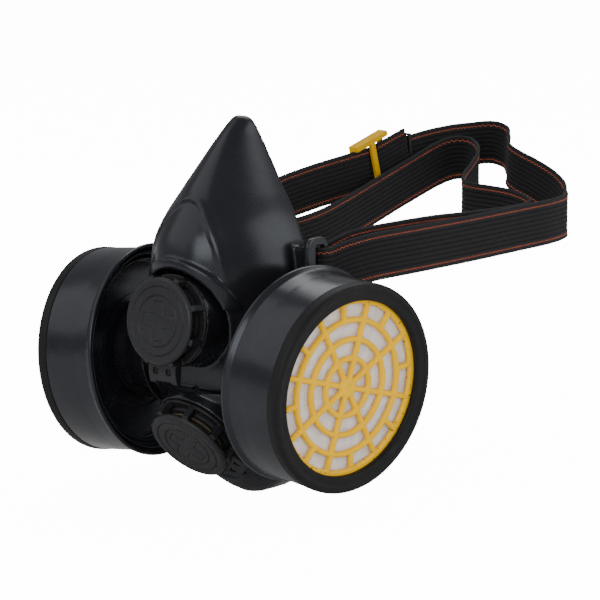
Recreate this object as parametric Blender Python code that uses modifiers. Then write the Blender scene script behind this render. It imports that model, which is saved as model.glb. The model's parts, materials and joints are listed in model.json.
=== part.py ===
"""Twin-cartridge half-mask respirator: facepiece, valves, canisters and head strap.

Metres, +Z up, the front of the mask towards -Y, the wearer's face towards +Y.
The origin is the middle of the face opening, where a face holds the mask.
"""
from math import cos, pi, radians, sin

import bmesh
import bpy
from mathutils import Matrix, Vector

MM = 0.001

# Driving dimensions, in millimetres
CANISTER_RADIUS = 42.5
CANISTER_LENGTH = 30.0
REAR_BEAD_RADIUS = 44.15
BEZEL_WINDOW_RADIUS = 35.4
CANISTER_FACE = (69.3, -16.3, -11.1)
CANISTER_SWEEP = radians(5.7)
CANISTER_DROOP = radians(5.1)

COVER_RADIUS = 17.5
UPPER_COVER_FACE = (0.0, -55.4, 13.4)
UPPER_COVER_TILT = radians(6.0)
LOWER_COVER_FACE = (0.0, -38.4, -40.3)
LOWER_COVER_TILT = radians(-38.3)

WALL = 2.4
GAP = 0.3
PORT_RADIUS = 19.5
TUBE_RADIUS = 13.3
PIN_RADIUS = 1.3

LOWER_CLEARANCE = 27.5
STRAP_WIDTH = 20.0
STRAP_THICKNESS = 1.3
LUG_SLOT = (36.0, 0.5, 30.0)

# The hood's level sections: height, half width, back edge and front line
HOOD_LEVELS = (
    (91.0, 2.4, -4.0, -7.6),
    (89.6, 4.4, -3.0, -9.8),
    (84.0, 7.2, -1.4, -16.2),
    (73.0, 13.0, -0.4, -26.0),
    (61.6, 19.4, 0.0, -35.2),
    (52.5, 25.0, 0.0, -41.4),
    (45.0, 28.0, 0.0, -45.4),
    (36.0, 30.0, 0.6, -47.4),
    (20.0, 32.0, 3.6, -47.6),
    (0.0, 36.0, 10.0, -46.0),
    (-20.0, 37.0, 15.0, -40.0),
    (-40.0, 32.0, 16.0, -30.0),
    (-54.0, 23.0, 12.0, -18.0),
    (-61.0, 14.0, 7.5, -9.0),
    (-64.6, 5.0, 3.0, -2.5),
)
HOOD_STEPS_UP = 20
HOOD_STEPS_ROUND = 16

BLACK = (0.022, 0.022, 0.024, 1.0)
GREY = (0.055, 0.055, 0.058, 1.0)
YELLOW = (0.86, 0.52, 0.03, 1.0)
WHITE = (0.80, 0.76, 0.74, 1.0)
CHARCOAL = (0.012, 0.012, 0.012, 1.0)
SILICONE = (0.62, 0.60, 0.52, 1.0)


def clear_scene():
    for item in list(bpy.data.objects):
        bpy.data.objects.remove(item, do_unlink=True)


def make_collection(name):
    group = bpy.data.collections.new(name)
    bpy.context.scene.collection.children.link(group)
    return group


def make_material(name, colour, roughness, metallic=0.0):
    material = bpy.data.materials.new(name)
    material.use_nodes = True
    shader = material.node_tree.nodes["Principled BSDF"]
    shader.inputs["Base Color"].default_value = colour
    shader.inputs["Roughness"].default_value = roughness
    shader.inputs["Metallic"].default_value = metallic
    return material


def axis_frame(origin, axis, up=(0.0, 0.0, 1.0)):
    """A placement whose local Z runs along axis and whose local Y leans to up; origin in mm."""
    z_dir = Vector(axis).normalized()
    x_dir = Vector(up).cross(z_dir).normalized()
    y_dir = z_dir.cross(x_dir)
    turn = Matrix((x_dir, y_dir, z_dir)).transposed().to_4x4()
    return Matrix.Translation(Vector(origin) * MM) @ turn


def add_mesh(name, mesh, group, material=None, place=None):
    item = bpy.data.objects.new(name, mesh)
    group.objects.link(item)
    if place is not None:
        item.matrix_world = place
    if material is not None:
        mesh.materials.append(material)
    return item


def mesh_from_bmesh(name, shape):
    mesh = bpy.data.meshes.new(name)
    bmesh.ops.recalc_face_normals(shape, faces=shape.faces)
    shape.to_mesh(mesh)
    shape.free()
    return mesh


def box_mesh(name, low, high):
    """A box between two corners, in mm."""
    shape = bmesh.new()
    bmesh.ops.create_cube(shape, size=1.0)
    size = Vector(high) - Vector(low)
    middle = (Vector(high) + Vector(low)) / 2
    bmesh.ops.scale(shape, vec=size * MM, verts=shape.verts)
    bmesh.ops.translate(shape, vec=middle * MM, verts=shape.verts)
    return mesh_from_bmesh(name, shape)


def rod_mesh(name, radius, low, high, sides=32):
    """A solid cylinder along local Z between two heights, in mm."""
    shape = bmesh.new()
    bmesh.ops.create_cone(
        shape, cap_ends=True, segments=sides, radius1=radius * MM, radius2=radius * MM,
        depth=(high - low) * MM)
    bmesh.ops.translate(shape, vec=(0.0, 0.0, (high + low) / 2 * MM), verts=shape.verts)
    return mesh_from_bmesh(name, shape)


def turned(name, profile, group, material, place, steps=32, closed=True):
    """A turned solid: (radius, height) points in mm, running down the outer side."""
    mesh = bpy.data.meshes.new(name)
    points = [(radius * MM, 0.0, height * MM) for radius, height in profile]
    edges = [(i, i + 1) for i in range(len(points) - 1)]
    if closed:
        edges.append((len(points) - 1, 0))
    mesh.from_pydata(points, edges, [])
    item = add_mesh(name, mesh, group, material, place)
    screw = item.modifiers.new("turn", "SCREW")
    screw.angle = 2 * pi
    screw.steps = steps
    screw.render_steps = steps
    screw.use_merge_vertices = True
    screw.merge_threshold = 0.00001
    return item


def ring(name, inner, outer, low, high, group, material, place, steps=32):
    profile = [(outer, high), (outer, low), (inner, low), (inner, high)]
    return turned(name, profile, group, material, place, steps)


def disc(name, radius, low, high, group, material, place, steps=32):
    profile = [(0.0, high), (radius, high), (radius, low), (0.0, low)]
    return turned(name, profile, group, material, place, steps, closed=False)


def combine(item, tool, operation, tools):
    """Cut a tool from an item, or join it on; the tool is hidden in its own collection."""
    if tool.name not in tools.objects:
        for group in list(tool.users_collection):
            group.objects.unlink(tool)
        tools.objects.link(tool)
    tool.hide_render = True
    change = item.modifiers.new(operation.lower(), "BOOLEAN")
    change.operation = operation
    change.solver = "EXACT"
    change.object = tool


def smooth_value(position, column):
    """The hood's half width, back edge or front line at a height, on a smooth curve."""
    rows = HOOD_LEVELS
    for upper, lower in zip(rows[:-1], rows[1:]):
        if lower[0] <= position <= upper[0]:
            break
    index = rows.index(upper)
    before = rows[max(index - 1, 0)]
    after = rows[min(index + 2, len(rows) - 1)]
    span = lower[0] - upper[0]
    share = (position - upper[0]) / span
    start_slope = (lower[column] - before[column]) / (lower[0] - before[0]) * span
    end_slope = (after[column] - upper[column]) / (after[0] - upper[0]) * span
    if index == 0:
        start_slope = (lower[column] - upper[column]) * 1.6
    square = share * share
    cube = square * share
    return ((2 * cube - 3 * square + 1) * upper[column] + (cube - 2 * square + share) * start_slope
            + (3 * square - 2 * cube) * lower[column] + (cube - square) * end_slope)


def hood_mesh(name, inset, top, bottom, back):
    """The hood as a solid: level sections drawn in by inset, with the back edge moved out by back."""
    shape = bmesh.new()
    rows = []
    for step in range(HOOD_STEPS_UP + 1):
        share = 0.5 - 0.5 * cos(pi * step / HOOD_STEPS_UP)
        height = top + (bottom - top) * (0.5 * share + 0.5 * step / HOOD_STEPS_UP)
        width = max(smooth_value(height, 1) - inset, 0.8)
        rear = smooth_value(height, 2)
        depth = max(rear - smooth_value(height, 3) - inset, 0.8)
        squareness = 2.0 / 2.15
        row = []
        for turn in range(HOOD_STEPS_ROUND + 1):
            angle = pi * turn / HOOD_STEPS_ROUND
            across = width * abs(cos(angle)) ** squareness * (1 if cos(angle) >= 0 else -1)
            along = rear - depth * sin(angle) ** squareness
            row.append(shape.verts.new(Vector((across, along, height)) * MM))
        if back:
            row.append(shape.verts.new(Vector((-width, rear + back, height)) * MM))
            row.append(shape.verts.new(Vector((width, rear + back, height)) * MM))
        rows.append(row)
    count = len(rows[0])
    for upper, lower in zip(rows[:-1], rows[1:]):
        for i in range(count):
            j = (i + 1) % count
            shape.faces.new((upper[i], upper[j], lower[j], lower[i]))
    shape.faces.new(rows[0])
    shape.faces.new(rows[-1])
    return mesh_from_bmesh(name, shape)


def valve_frame(face, tilt, twist=0.0):
    axis = (0.0, -cos(tilt), sin(tilt))
    return axis_frame(face, axis) @ Matrix.Rotation(twist, 4, "Z")


def canister_frame(side):
    """Local Z points out of the canister's face; side is 1 for the right hand, -1 for the left."""
    x, y, z = CANISTER_FACE
    axis = (side * cos(CANISTER_DROOP) * cos(CANISTER_SWEEP),
            -cos(CANISTER_DROOP) * sin(CANISTER_SWEEP), -sin(CANISTER_DROOP))
    return axis_frame((side * x, y, z), axis)


def make_lug(side, tools):
    """A plate on the mask's cheek with an upright slot that the webbing passes through."""
    x, y, z = LUG_SLOT

    def block(name, near, far, low, high):
        ends = sorted((side * near, side * far))
        mesh = box_mesh(name, (ends[0], low[0], low[1]), (ends[1], high[0], high[1]))
        return add_mesh(name, mesh, tools)

    plate = block("lug_plate", x - 1.2, x + 1.2, (y - 8.0, z - 14.4), (y + 5.5, z + 14.4))
    foot = block("lug_foot", 28.4, x + 0.4, (y - 7.6, z - 12.5), (y - 3.6, z + 12.5))
    slot = block("lug_slot", x - 3.0, x + 3.0, (y - 2.3, z - 10.8), (y + 2.3, z + 10.8))
    combine(plate, foot, "UNION", tools)
    combine(plate, slot, "DIFFERENCE", tools)
    return plate


def make_facepiece(group, tools, material):
    item = add_mesh("facepiece", hood_mesh("facepiece", 0.0, 91.0, -64.6, 0.0), group, material)
    upper = valve_frame(UPPER_COVER_FACE, UPPER_COVER_TILT)
    lower = valve_frame(LOWER_COVER_FACE, LOWER_COVER_TILT)
    ports = [canister_frame(side) for side in (1, -1)]

    def tool(name, mesh, place=None):
        return add_mesh(name, mesh, tools, None, place)

    lower_boss = tool("lower_boss", rod_mesh("lower_boss", 19.5, -34.0, -9.3), lower)
    pocket = tool("pocket", rod_mesh("pocket", 20.6, -24.0, 10.0), upper)
    recess = tool("recess", box_mesh("recess", (-15.0, -70.0, -17.0), (15.0, -33.0, 12.0)))

    cavity = tool("cavity", hood_mesh("cavity", WALL, 86.5, -61.8, 8.0))
    guard_pocket = tool(
        "guard_pocket", rod_mesh("guard_pocket", 20.6 + WALL, -24.0 - WALL, 20.0), upper)
    guard_recess = tool("guard_recess", box_mesh(
        "guard_recess", (-15.0 - WALL, -80.0, -17.0 - WALL), (15.0 + WALL, -33.0 + WALL, 12.0)))
    guard_lower = tool("guard_lower", rod_mesh("guard_lower", 19.5 + 1.0, -26.5, 20.0), lower)
    guard_clearance = tool("guard_clearance", rod_mesh(
        "guard_clearance", LOWER_CLEARANCE + WALL, -9.0 - WALL, 20.0), lower)
    for guard in (guard_pocket, guard_recess, guard_lower, guard_clearance):
        combine(cavity, guard, "DIFFERENCE", tools)

    clearance = tool(
        "lower_clearance", rod_mesh("lower_clearance", LOWER_CLEARANCE, -9.0, 20.0), lower)
    combine(item, clearance, "DIFFERENCE", tools)
    combine(item, lower_boss, "UNION", tools)
    combine(item, pocket, "DIFFERENCE", tools)
    combine(item, recess, "DIFFERENCE", tools)
    combine(item, cavity, "DIFFERENCE", tools)

    collar = ring("collar", 20.2, 24.0, -18.0, -9.1, tools, None, upper)
    housing = ring("housing", 15.2, 18.6, -25.0, -9.3, tools, None, upper)
    combine(item, collar, "UNION", tools)
    combine(item, housing, "UNION", tools)
    for place in ports:
        boss = tool("port_boss", rod_mesh("port_boss", PORT_RADIUS, -46.0, -21.5), place)
        combine(item, boss, "UNION", tools)
    for side in (1, -1):
        combine(item, make_lug(side, tools), "UNION", tools)

    upper_bore = tool("upper_bore", rod_mesh("upper_bore", 12.0, -32.0, -9.0), upper)
    lower_socket = tool("lower_socket", rod_mesh("lower_socket", 15.2, -21.0, 0.0), lower)
    lower_bore = tool("lower_bore", rod_mesh("lower_bore", 12.0, -40.0, -9.0), lower)
    for bore in (upper_bore, lower_socket, lower_bore):
        combine(item, bore, "DIFFERENCE", tools)
    for place in ports:
        bore = tool("port_bore", rod_mesh("port_bore", TUBE_RADIUS + GAP, -42.0, -15.0), place)
        combine(item, bore, "DIFFERENCE", tools)
        well = tool("port_well", rod_mesh("port_well", PORT_RADIUS - WALL, -47.0, -39.0), place)
        combine(item, well, "DIFFERENCE", tools)
    return item


def add_spider(item, reach, low, high, pin_low, pin_high, place, tools):
    """Two crossing bars and a pin in the middle, which guide a flap."""
    for name, half_x, half_y in (("bar_a", reach, 1.0), ("bar_b", 1.0, reach)):
        bar_shape = box_mesh(name, (-half_x, -half_y, low), (half_x, half_y, high))
        bar = add_mesh(name, bar_shape, tools, None, place)
        combine(item, bar, "UNION", tools)
    pin = add_mesh("pin", rod_mesh("pin", PIN_RADIUS, pin_low, pin_high, 12), tools, None, place)
    combine(item, pin, "UNION", tools)


def make_valve(name, face, tilt, twist, group, tools, looks):
    """An exhalation valve: seat ring with its guide pin, flap, and caged cover."""
    place = valve_frame(face, tilt, twist)
    seat = ring(name + "_valve_seat", 11.6, 14.9, -20.6, -6.6, group, looks["grey"], place, 24)
    add_spider(seat, 12.6, -9.0, -7.4, -8.6, -3.2, place, tools)
    ring(name + "_valve_flap", PIN_RADIUS + GAP, 13.4, -6.2, -5.4, group, looks["silicone"], place, 24)

    cover = disc(name + "_valve_cover", COVER_RADIUS, -2.0, 0.0, group, looks["grey"], place)
    rim = ring("cover_rim", 15.4, 18.7, -9.0, -7.9, tools, None, place)
    combine(cover, rim, "UNION", tools)
    for number in range(8):
        turn = place @ Matrix.Rotation(radians(22.5 + 45 * number), 4, "Z")
        rib_shape = box_mesh("cover_rib", (15.5, -1.3, -8.4), (17.2, 1.3, -1.0))
        rib = add_mesh("cover_rib", rib_shape, tools, None, turn)
        combine(cover, rib, "UNION", tools)
    latch_shape = box_mesh("latch", (-7.3, -25.6, -8.2), (7.3, -16.6, -4.2))
    latch = add_mesh("latch", latch_shape, tools, None, place)
    combine(cover, latch, "UNION", tools)


def flat_outline(name, loops, low, high, group, material, place):
    """A flat plate with holes: closed loops of (x, y) in mm, filled and given its thickness."""
    curve = bpy.data.curves.new(name, "CURVE")
    curve.dimensions = "2D"
    curve.fill_mode = "BOTH"
    curve.extrude = (high - low) / 2 * MM
    for loop in loops:
        spline = curve.splines.new("POLY")
        spline.points.add(len(loop) - 1)
        for point, (x, y) in zip(spline.points, loop):
            point.co = (x * MM, y * MM, 0.0, 1.0)
        spline.use_cyclic_u = True
    item = bpy.data.objects.new(name, curve)
    group.objects.link(item)
    curve.materials.append(material)
    item.matrix_world = place @ Matrix.Translation((0.0, 0.0, (high + low) / 2 * MM))


def circle_loop(radius, sides, centre=(0.0, 0.0)):
    turns = [2 * pi * i / sides for i in range(sides)]
    return [(centre[0] + radius * cos(t), centre[1] + radius * sin(t)) for t in turns]


def cell_loop(inner, outer, start, end, bar_width):
    """One opening of the grille, between two rings and two spokes of a set width."""
    def edge(radius, angle, side):
        return angle + side * bar_width / 2 / radius
    steps = 4
    far_start, far_end = edge(outer, start, 1), edge(outer, end, -1)
    near_start, near_end = edge(inner, start, 1), edge(inner, end, -1)
    loop = [(outer, far_start + (far_end - far_start) * i / steps) for i in range(steps + 1)]
    loop += [(inner, near_end + (near_start - near_end) * i / 2) for i in range(3)]
    return [(radius * cos(angle), radius * sin(angle)) for radius, angle in loop]


def grille_loops():
    window = BEZEL_WINDOW_RADIUS
    bar = 2.3
    rings = [0.125 * window, 0.33 * window, 0.55 * window, 0.77 * window, 0.965 * window]
    loops = [circle_loop(38.4, 48)]
    for zone, (inner, outer) in enumerate(zip(rings[:-1], rings[1:])):
        cells = 16 if zone == 3 else 8
        near = inner if zone == 0 else inner + bar / 2
        for number in range(cells):
            start = radians(31) + 2 * pi * number / cells
            loops.append(cell_loop(near, outer - bar / 2, start, start + 2 * pi / cells, bar))
    return loops


def screen_loops():
    loops = [circle_loop(39.4, 32)]
    for number in range(8):
        angle = 2 * pi * number / 8
        loops.append(circle_loop(5.0, 8, (26.0 * cos(angle), 26.0 * sin(angle))))
    return loops


def make_canister(side_name, side, group, tools, looks):
    """One cartridge and the rigid port that it screws on, along the canister's own axis."""
    place = canister_frame(side)
    rim = CANISTER_RADIUS
    bead = REAR_BEAD_RADIUS
    back = -CANISTER_LENGTH
    cup = [(rim - 0.2, -5.3), (rim + 0.3, back + 4.0), (bead, back + 2.6), (bead, back),
           (41.6, back), (40.8, -20.0), (TUBE_RADIUS + GAP, -20.0), (TUBE_RADIUS + GAP, -18.0),
           (40.0, -18.0), (40.0, -5.3)]
    turned(side_name + "_canister_cup", cup, group, looks["black"], place)
    bezel = [(rim - 1.0, 0.0), (rim, -1.0), (rim, -5.0), (39.0, -5.0), (39.0, -3.0),
             (BEZEL_WINDOW_RADIUS, -3.0), (BEZEL_WINDOW_RADIUS, 0.0)]
    turned(side_name + "_bezel_ring", bezel, group, looks["black"], place)
    flat_outline(side_name + "_grille", grille_loops(), -5.2, -3.3, group, looks["yellow"], place)
    disc(side_name + "_filter_pad", 38.4, -9.6, -5.5, group, looks["white"], place)
    disc(side_name + "_carbon_bed", 39.4, -16.3, -9.9, group, looks["charcoal"], place)
    flat_outline(side_name + "_carbon_screen", screen_loops(), -17.6, -16.6, group, looks["grey"], place)
    ring(side_name + "_port_gasket", TUBE_RADIUS + 0.4, 17.5, -21.2, -20.3,
         group, looks["silicone"], place, 24)
    adapter = [(TUBE_RADIUS, -17.9), (TUBE_RADIUS, -39.3), (16.6, -39.3), (16.6, -41.2),
               (11.3, -41.2), (11.3, -17.9)]
    tube = turned(side_name + "_port_adapter", adapter, group, looks["grey"], place, 24)
    add_spider(tube, 12.3, -41.0, -39.6, -44.6, -40.0, place, tools)
    ring(side_name + "_inhalation_flap", PIN_RADIUS + GAP, 12.9, -42.4, -41.5,
         group, looks["silicone"], place, 24)


# Middle of the webbing, by hand, in mm: round one closed loop through both lugs
def strap_route():
    x, y, z = LUG_SLOT
    outer, inner = x + 2.3, x - 2.5
    wrap = [(outer, y + 6.5, z), (outer, y + 2.6, z), (outer - 0.3, y + 0.7, z), (outer - 1.1, y, z),
            (inner + 1.1, y, z), (inner + 0.3, y + 0.7, z), (inner, y + 2.6, z), (inner, y + 6.5, z)]
    right_outer = [(22.0, 187.0, 33.4), (28.5, 178.0, 33.0), (33.5, 160.0, 33.0), (35.5, 135.0, 33.0),
                   (38.0, 97.0, 33.0), (40.0, 61.0, 33.2), (39.8, 33.0, 33.0), (39.0, 17.0, 31.8)]
    right_inner = [(33.5, 14.0, 32.0), (33.8, 26.0, 34.4), (34.4, 45.0, 35.0), (34.9, 75.0, 35.0),
                   (35.4, 98.0, 34.2), (34.8, 125.0, 33.4), (34.0, 140.0, 33.4)]
    fold = [(31.5, 147.0, 34.0), (26.0, 150.0, 35.4), (17.0, 151.5, 36.8), (7.0, 152.0, 37.4),
            (-3.0, 152.6, 37.6), (-10.5, 155.0, 38.2), (-15.5, 162.0, 40.4), (-19.0, 172.0, 44.0),
            (-23.0, 181.0, 47.4), (-29.5, 188.0, 50.6), (-37.0, 190.5, 52.4), (-42.5, 187.0, 52.2)]
    left_inner = [(-45.0, 179.0, 50.0), (-45.6, 166.0, 46.2), (-44.6, 149.0, 42.0), (-41.6, 121.0, 35.6),
                  (-36.5, 90.0, 30.2), (-33.8, 66.0, 28.3), (-33.2, 42.0, 28.8), (-33.3, 20.0, 29.7)]
    left_outer = [(-38.9, 16.0, 30.8), (-41.5, 33.0, 35.0), (-45.0, 52.0, 40.0), (-48.2, 73.0, 44.2),
                  (-50.0, 98.0, 47.2), (-50.0, 118.0, 49.3), (-50.0, 138.0, 51.4), (-50.0, 158.0, 53.5),
                  (-50.0, 178.0, 55.6)]
    top_fold = [(-49.0, 195.0, 56.6), (-45.5, 206.0, 57.0), (-39.0, 212.5, 57.6), (-32.0, 213.0, 56.0),
                (-26.0, 208.0, 53.0), (-20.5, 201.5, 49.8), (-14.0, 199.0, 47.2), (-4.0, 198.5, 43.8),
                (7.0, 197.5, 39.4), (15.5, 194.0, 35.4)]
    left_wrap = [(-across, along, height) for across, along, height in wrap]
    return (right_outer + wrap + right_inner + fold + left_inner
            + left_wrap[::-1] + left_outer + top_fold)


def smooth_loop(points, steps):
    """A closed Catmull-Rom curve through the points."""
    count = len(points)
    curve = []
    for i in range(count):
        p0, p1, p2, p3 = (Vector(points[(i + k) % count]) for k in (-1, 0, 1, 2))
        parts = steps if (p2 - p1).length > 6.0 else 1
        for k in range(parts):
            t = k / parts
            curve.append(0.5 * ((2 * p1) + (p2 - p0) * t + (2 * p0 - 5 * p1 + 4 * p2 - p3) * t * t
                                + (3 * p1 - p0 - 3 * p2 + p3) * t ** 3))
    return curve


def band_mesh(name, line, width, thickness, closed):
    """Webbing of flat section along a line, standing on its edge."""
    shape = bmesh.new()
    count = len(line)
    rows = []
    for i, point in enumerate(line):
        after = line[(i + 1) % count] if closed or i < count - 1 else point
        before = line[i - 1] if closed or i > 0 else point
        along = (after - before).normalized()
        up = Vector((0.0, 0.0, 1.0))
        up = (up - up.dot(along) * along).normalized()
        out = along.cross(up)
        corners = ((1, 1), (1, -1), (-1, -1), (-1, 1))
        rows.append([shape.verts.new((point + up * a * width / 2 + out * b * thickness / 2) * MM)
                     for a, b in corners])
    pairs = list(zip(rows, rows[1:] + rows[:1])) if closed else list(zip(rows[:-1], rows[1:]))
    for first, second in pairs:
        for i in range(4):
            j = (i + 1) % 4
            shape.faces.new((first[i], first[j], second[j], second[i]))
    if not closed:
        shape.faces.new(rows[0])
        shape.faces.new(rows[-1])
    return mesh_from_bmesh(name, shape)


BUCKLE_CENTRE = (-50.0, 138.0, 51.4)
BUCKLE_SLOPE = (0.0, 20.0, 2.1)


def buckle_frame():
    """Local X along the webbing, local Y across it upward, local Z towards the mask's middle."""
    along = Vector(BUCKLE_SLOPE).normalized()
    inward = Vector((1.0, 0.0, 0.0))
    turn = Matrix((along, inward.cross(along), inward)).transposed().to_4x4()
    return Matrix.Translation(Vector(BUCKLE_CENTRE) * MM) @ turn


def make_harness(group, tools, looks):
    line = smooth_loop(strap_route(), 2)
    add_mesh("strap_band", band_mesh("strap_band", line, STRAP_WIDTH, STRAP_THICKNESS, True),
             group, looks["webbing"])

    place = buckle_frame()
    half_length, half_height, rail = 11.0, 13.4, 2.6
    frame = box_mesh("tri_glide_buckle", (-half_length, half_height - rail, -2.6),
                     (half_length, half_height, 2.6))
    buckle = add_mesh("tri_glide_buckle", frame, group, looks["yellow"], place)
    parts = [("low_rail", (-half_length, -half_height, -2.6), (half_length, rail - half_height, 2.6)),
             ("near_bar", (-half_length, -half_height + 1, -2.6), (-half_length + 3, half_height - 1, -1.0)),
             ("far_bar", (half_length - 3, -half_height + 1, -2.6), (half_length, half_height - 1, -1.0)),
             ("middle_bar", (-1.6, -half_height + 1, 1.0), (1.6, half_height - 1, 2.6))]
    for name, low, high in parts:
        combine(buckle, add_mesh(name, box_mesh(name, low, high), tools, None, place), "UNION", tools)

    tail = box_mesh("strap_tail", (2.2, -STRAP_WIDTH / 2, 0.95), (23.0, STRAP_WIDTH / 2, 2.25))
    add_mesh("strap_tail", tail, group, looks["webbing"], place)
    keeper = add_mesh("strap_keeper", box_mesh("strap_keeper", (25.5, -11.4, -1.9), (28.0, 11.4, 1.9)),
                      group, looks["grey"], place)
    opening = box_mesh("keeper_opening", (24.0, -10.4, -1.0), (30.0, 10.4, 1.0))
    combine(keeper, add_mesh("keeper_opening", opening, tools, None, place), "DIFFERENCE", tools)


def main():
    clear_scene()
    group = make_collection("respirator")
    tools = make_collection("cutters")
    looks = {
        "rubber": make_material("moulded_rubber", BLACK, 0.32),
        "black": make_material("canister_plastic", BLACK, 0.38),
        "grey": make_material("cover_plastic", GREY, 0.55),
        "yellow": make_material("yellow_plastic", YELLOW, 0.40),
        "white": make_material("filter_felt", WHITE, 0.95),
        "charcoal": make_material("activated_carbon", CHARCOAL, 0.95),
        "silicone": make_material("silicone", SILICONE, 0.50),
        "webbing": make_material("elastic_webbing", CHARCOAL, 0.90),
    }
    make_facepiece(group, tools, looks["rubber"])
    make_valve("upper", UPPER_COVER_FACE, UPPER_COVER_TILT, 0.0, group, tools, looks)
    make_valve("lower", LOWER_COVER_FACE, LOWER_COVER_TILT, radians(45), group, tools, looks)
    make_canister("right", 1, group, tools, looks)
    make_canister("left", -1, group, tools, looks)
    make_harness(group, tools, looks)


main()
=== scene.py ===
"""Half-mask respirator: detailed surfaces, materials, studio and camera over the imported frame."""
import json
from math import ceil, cos, exp, pi, radians, sin

import bmesh
import bpy
from mathutils import Matrix, Vector, noise

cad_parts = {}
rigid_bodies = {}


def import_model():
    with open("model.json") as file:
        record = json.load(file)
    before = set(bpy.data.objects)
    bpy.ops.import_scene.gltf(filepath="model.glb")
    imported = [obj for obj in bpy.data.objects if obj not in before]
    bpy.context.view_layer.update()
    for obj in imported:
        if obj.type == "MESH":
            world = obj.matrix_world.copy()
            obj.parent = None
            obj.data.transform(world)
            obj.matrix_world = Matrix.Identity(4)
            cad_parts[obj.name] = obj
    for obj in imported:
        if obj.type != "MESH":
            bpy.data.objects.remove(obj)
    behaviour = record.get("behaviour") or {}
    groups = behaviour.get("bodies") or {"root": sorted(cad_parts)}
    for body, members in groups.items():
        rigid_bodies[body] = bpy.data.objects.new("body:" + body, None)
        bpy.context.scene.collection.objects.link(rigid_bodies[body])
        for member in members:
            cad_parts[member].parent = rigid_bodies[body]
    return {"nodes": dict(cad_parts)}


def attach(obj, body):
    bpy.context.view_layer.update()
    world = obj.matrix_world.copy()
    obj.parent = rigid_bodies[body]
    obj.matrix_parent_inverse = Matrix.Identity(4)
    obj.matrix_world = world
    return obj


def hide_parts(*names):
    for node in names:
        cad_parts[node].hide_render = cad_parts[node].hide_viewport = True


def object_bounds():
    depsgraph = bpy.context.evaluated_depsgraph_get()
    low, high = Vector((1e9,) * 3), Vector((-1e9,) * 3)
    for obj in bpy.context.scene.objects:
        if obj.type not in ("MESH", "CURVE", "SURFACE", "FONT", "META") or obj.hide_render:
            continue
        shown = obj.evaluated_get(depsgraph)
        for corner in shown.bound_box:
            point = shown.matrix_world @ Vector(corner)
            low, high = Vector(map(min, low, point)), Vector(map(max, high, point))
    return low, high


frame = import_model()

CAD_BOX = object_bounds()
MM = 0.001

# Dimensions shared with the CAD, in millimetres
CANISTER_FACE = (69.3, -16.3, -11.1)
CANISTER_SWEEP = radians(5.7)
CANISTER_DROOP = radians(5.1)
WINDOW_RADIUS = 35.4
UPPER_COVER_FACE = (0.0, -55.4, 13.4)
UPPER_COVER_TILT = radians(6.0)
LOWER_COVER_FACE = (0.0, -38.4, -40.3)
LOWER_COVER_TILT = radians(-38.3)
WALL = 2.4
PORT_RADIUS = 19.5
VALVE_BORE = 12.0
LOWER_BOSS = 19.5
POCKET_RADIUS = 20.6
POCKET_DEPTH = 24.0
LOWER_CLEARANCE = 27.5
LOWER_DEPTH = 9.0
LUG_SLOT = (36.0, 0.5, 30.0)
BUCKLE_CENTRE = (-50.0, 138.0, 51.4)
BUCKLE_SLOPE = (0.0, 20.0, 2.1)

# Dimensions that only this file has, in millimetres. The doorway is the opening under the upper valve.
DOORWAY_HALF = POCKET_RADIUS
DOORWAY_LOW = -17.0
DOORWAY_TOP = 13.0
DOORWAY_BACK = -33.0
LIP_RADIUS = 25.0
LIP_CENTRE = 12.6
RIM_REACH = 1.6
RIM_DEPTH = 16.0
BUCKLE_LEAN = radians(10.0)
BUCKLE_SHIFT = (1.2, 1.0, 0.0)
WEB_WIDTH = 20.0
WEB_THICKNESS = 1.45
WEB_RIBS = 10

# The hood's level sections: height, half width, back edge and front line
HOOD_LEVELS = (
    (91.0, 2.4, -4.0, -7.6),
    (89.6, 4.4, -3.0, -9.8),
    (84.0, 7.2, -1.4, -16.2),
    (73.0, 13.0, -0.4, -26.0),
    (61.6, 19.4, 0.0, -35.2),
    (52.5, 25.0, 0.0, -41.4),
    (45.0, 28.0, 0.0, -45.4),
    (36.0, 30.0, 0.6, -47.4),
    (20.0, 32.0, 3.6, -47.6),
    (0.0, 36.0, 10.0, -46.0),
    (-20.0, 37.0, 15.0, -40.0),
    (-40.0, 32.0, 16.0, -30.0),
    (-54.0, 23.0, 12.0, -18.0),
    (-61.0, 14.0, 7.5, -9.0),
    (-64.6, 5.0, 3.0, -2.5),
)
HALF_WIDTH, BACK_EDGE, FRONT_LINE = 1, 2, 3
HOOD_TOP = HOOD_LEVELS[0][0]
HOOD_BOTTOM = HOOD_LEVELS[-1][0]
HOOD_SQUARENESS = 2.0 / 2.15

# Turns a prism so that its outline lies in Y and Z and its height runs along X
PRISM_ALONG_X = Matrix(((0.0, 0.0, 1.0, 0.0),
                        (1.0, 0.0, 0.0, 0.0),
                        (0.0, 1.0, 0.0, 0.0),
                        (0.0, 0.0, 0.0, 1.0)))

work = bpy.data.collections.new("work")
bpy.context.scene.collection.children.link(work)
shown = bpy.data.collections.new("shown")
bpy.context.scene.collection.children.link(shown)


# ---------------------------------------------------------------- placing

def axis_frame(origin, axis, up=(0.0, 0.0, 1.0)):
    """A placement whose local Z runs along axis and whose local Y leans to up; origin in mm."""
    z_dir = Vector(axis).normalized()
    x_dir = Vector(up).cross(z_dir).normalized()
    y_dir = z_dir.cross(x_dir)
    turn = Matrix((x_dir, y_dir, z_dir)).transposed().to_4x4()
    return Matrix.Translation(Vector(origin) * MM) @ turn


def valve_frame(face, tilt, twist=0.0):
    axis = (0.0, -cos(tilt), sin(tilt))
    return axis_frame(face, axis) @ Matrix.Rotation(twist, 4, "Z")


def canister_frame(side):
    x, y, z = CANISTER_FACE
    axis = (side * cos(CANISTER_DROOP) * cos(CANISTER_SWEEP),
            -cos(CANISTER_DROOP) * sin(CANISTER_SWEEP), -sin(CANISTER_DROOP))
    return axis_frame((side * x, y, z), axis)


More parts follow.
